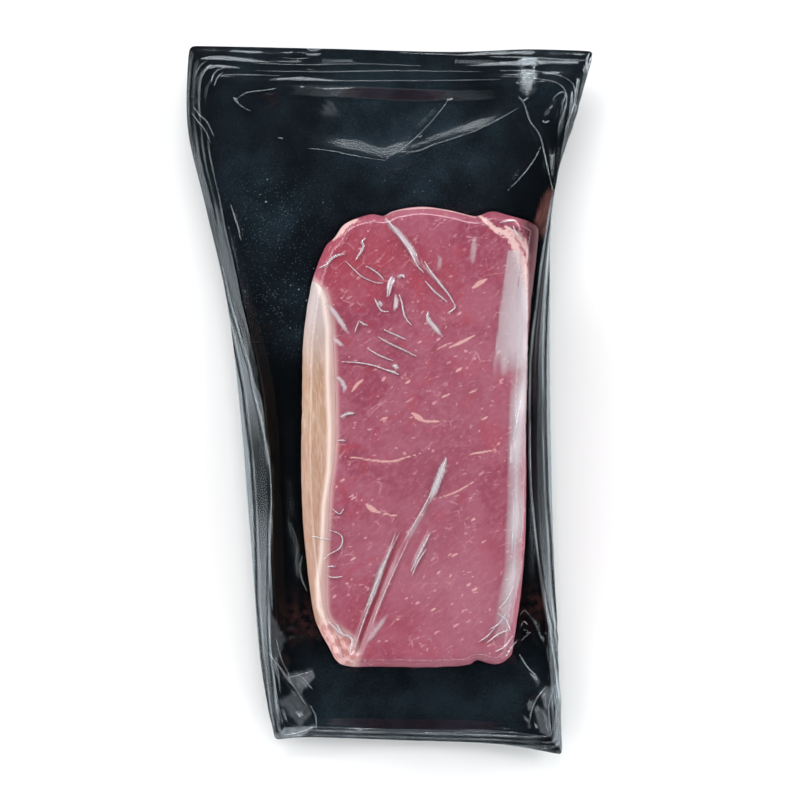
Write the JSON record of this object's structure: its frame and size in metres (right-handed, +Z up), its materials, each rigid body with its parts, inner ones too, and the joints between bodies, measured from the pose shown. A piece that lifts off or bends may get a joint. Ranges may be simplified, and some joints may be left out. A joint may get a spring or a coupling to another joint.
{
  "type": "beef roast",
  "caption": "Block of beef for roasting with a fat cap down one side, sealed in a black formed film under a clear top film drawn tight over the meat.",
  "frame": {"origin": "middle of the pack's outline, on the surface it lies on", "axes": "+Y along the pack towards its wide empty end, +Z up from the table through the meat's cut face, +X across the pack away from the fat cap"},
  "size_m": [0.1789, 0.3099, 0.0634],
  "materials": {
    "black_film": "glossy formed film",
    "lean_beef": "moist, marbled",
    "beef_fat": "waxy, soft satin",
    "clear_film": "clear, glossy, creased"
  },
  "bodies": {
    "root": {"base_film": "black_film", "lean_roast": "lean_beef", "fat_cap": "beef_fat", "top_film": "clear_film"}
  },
  "joints": []
}
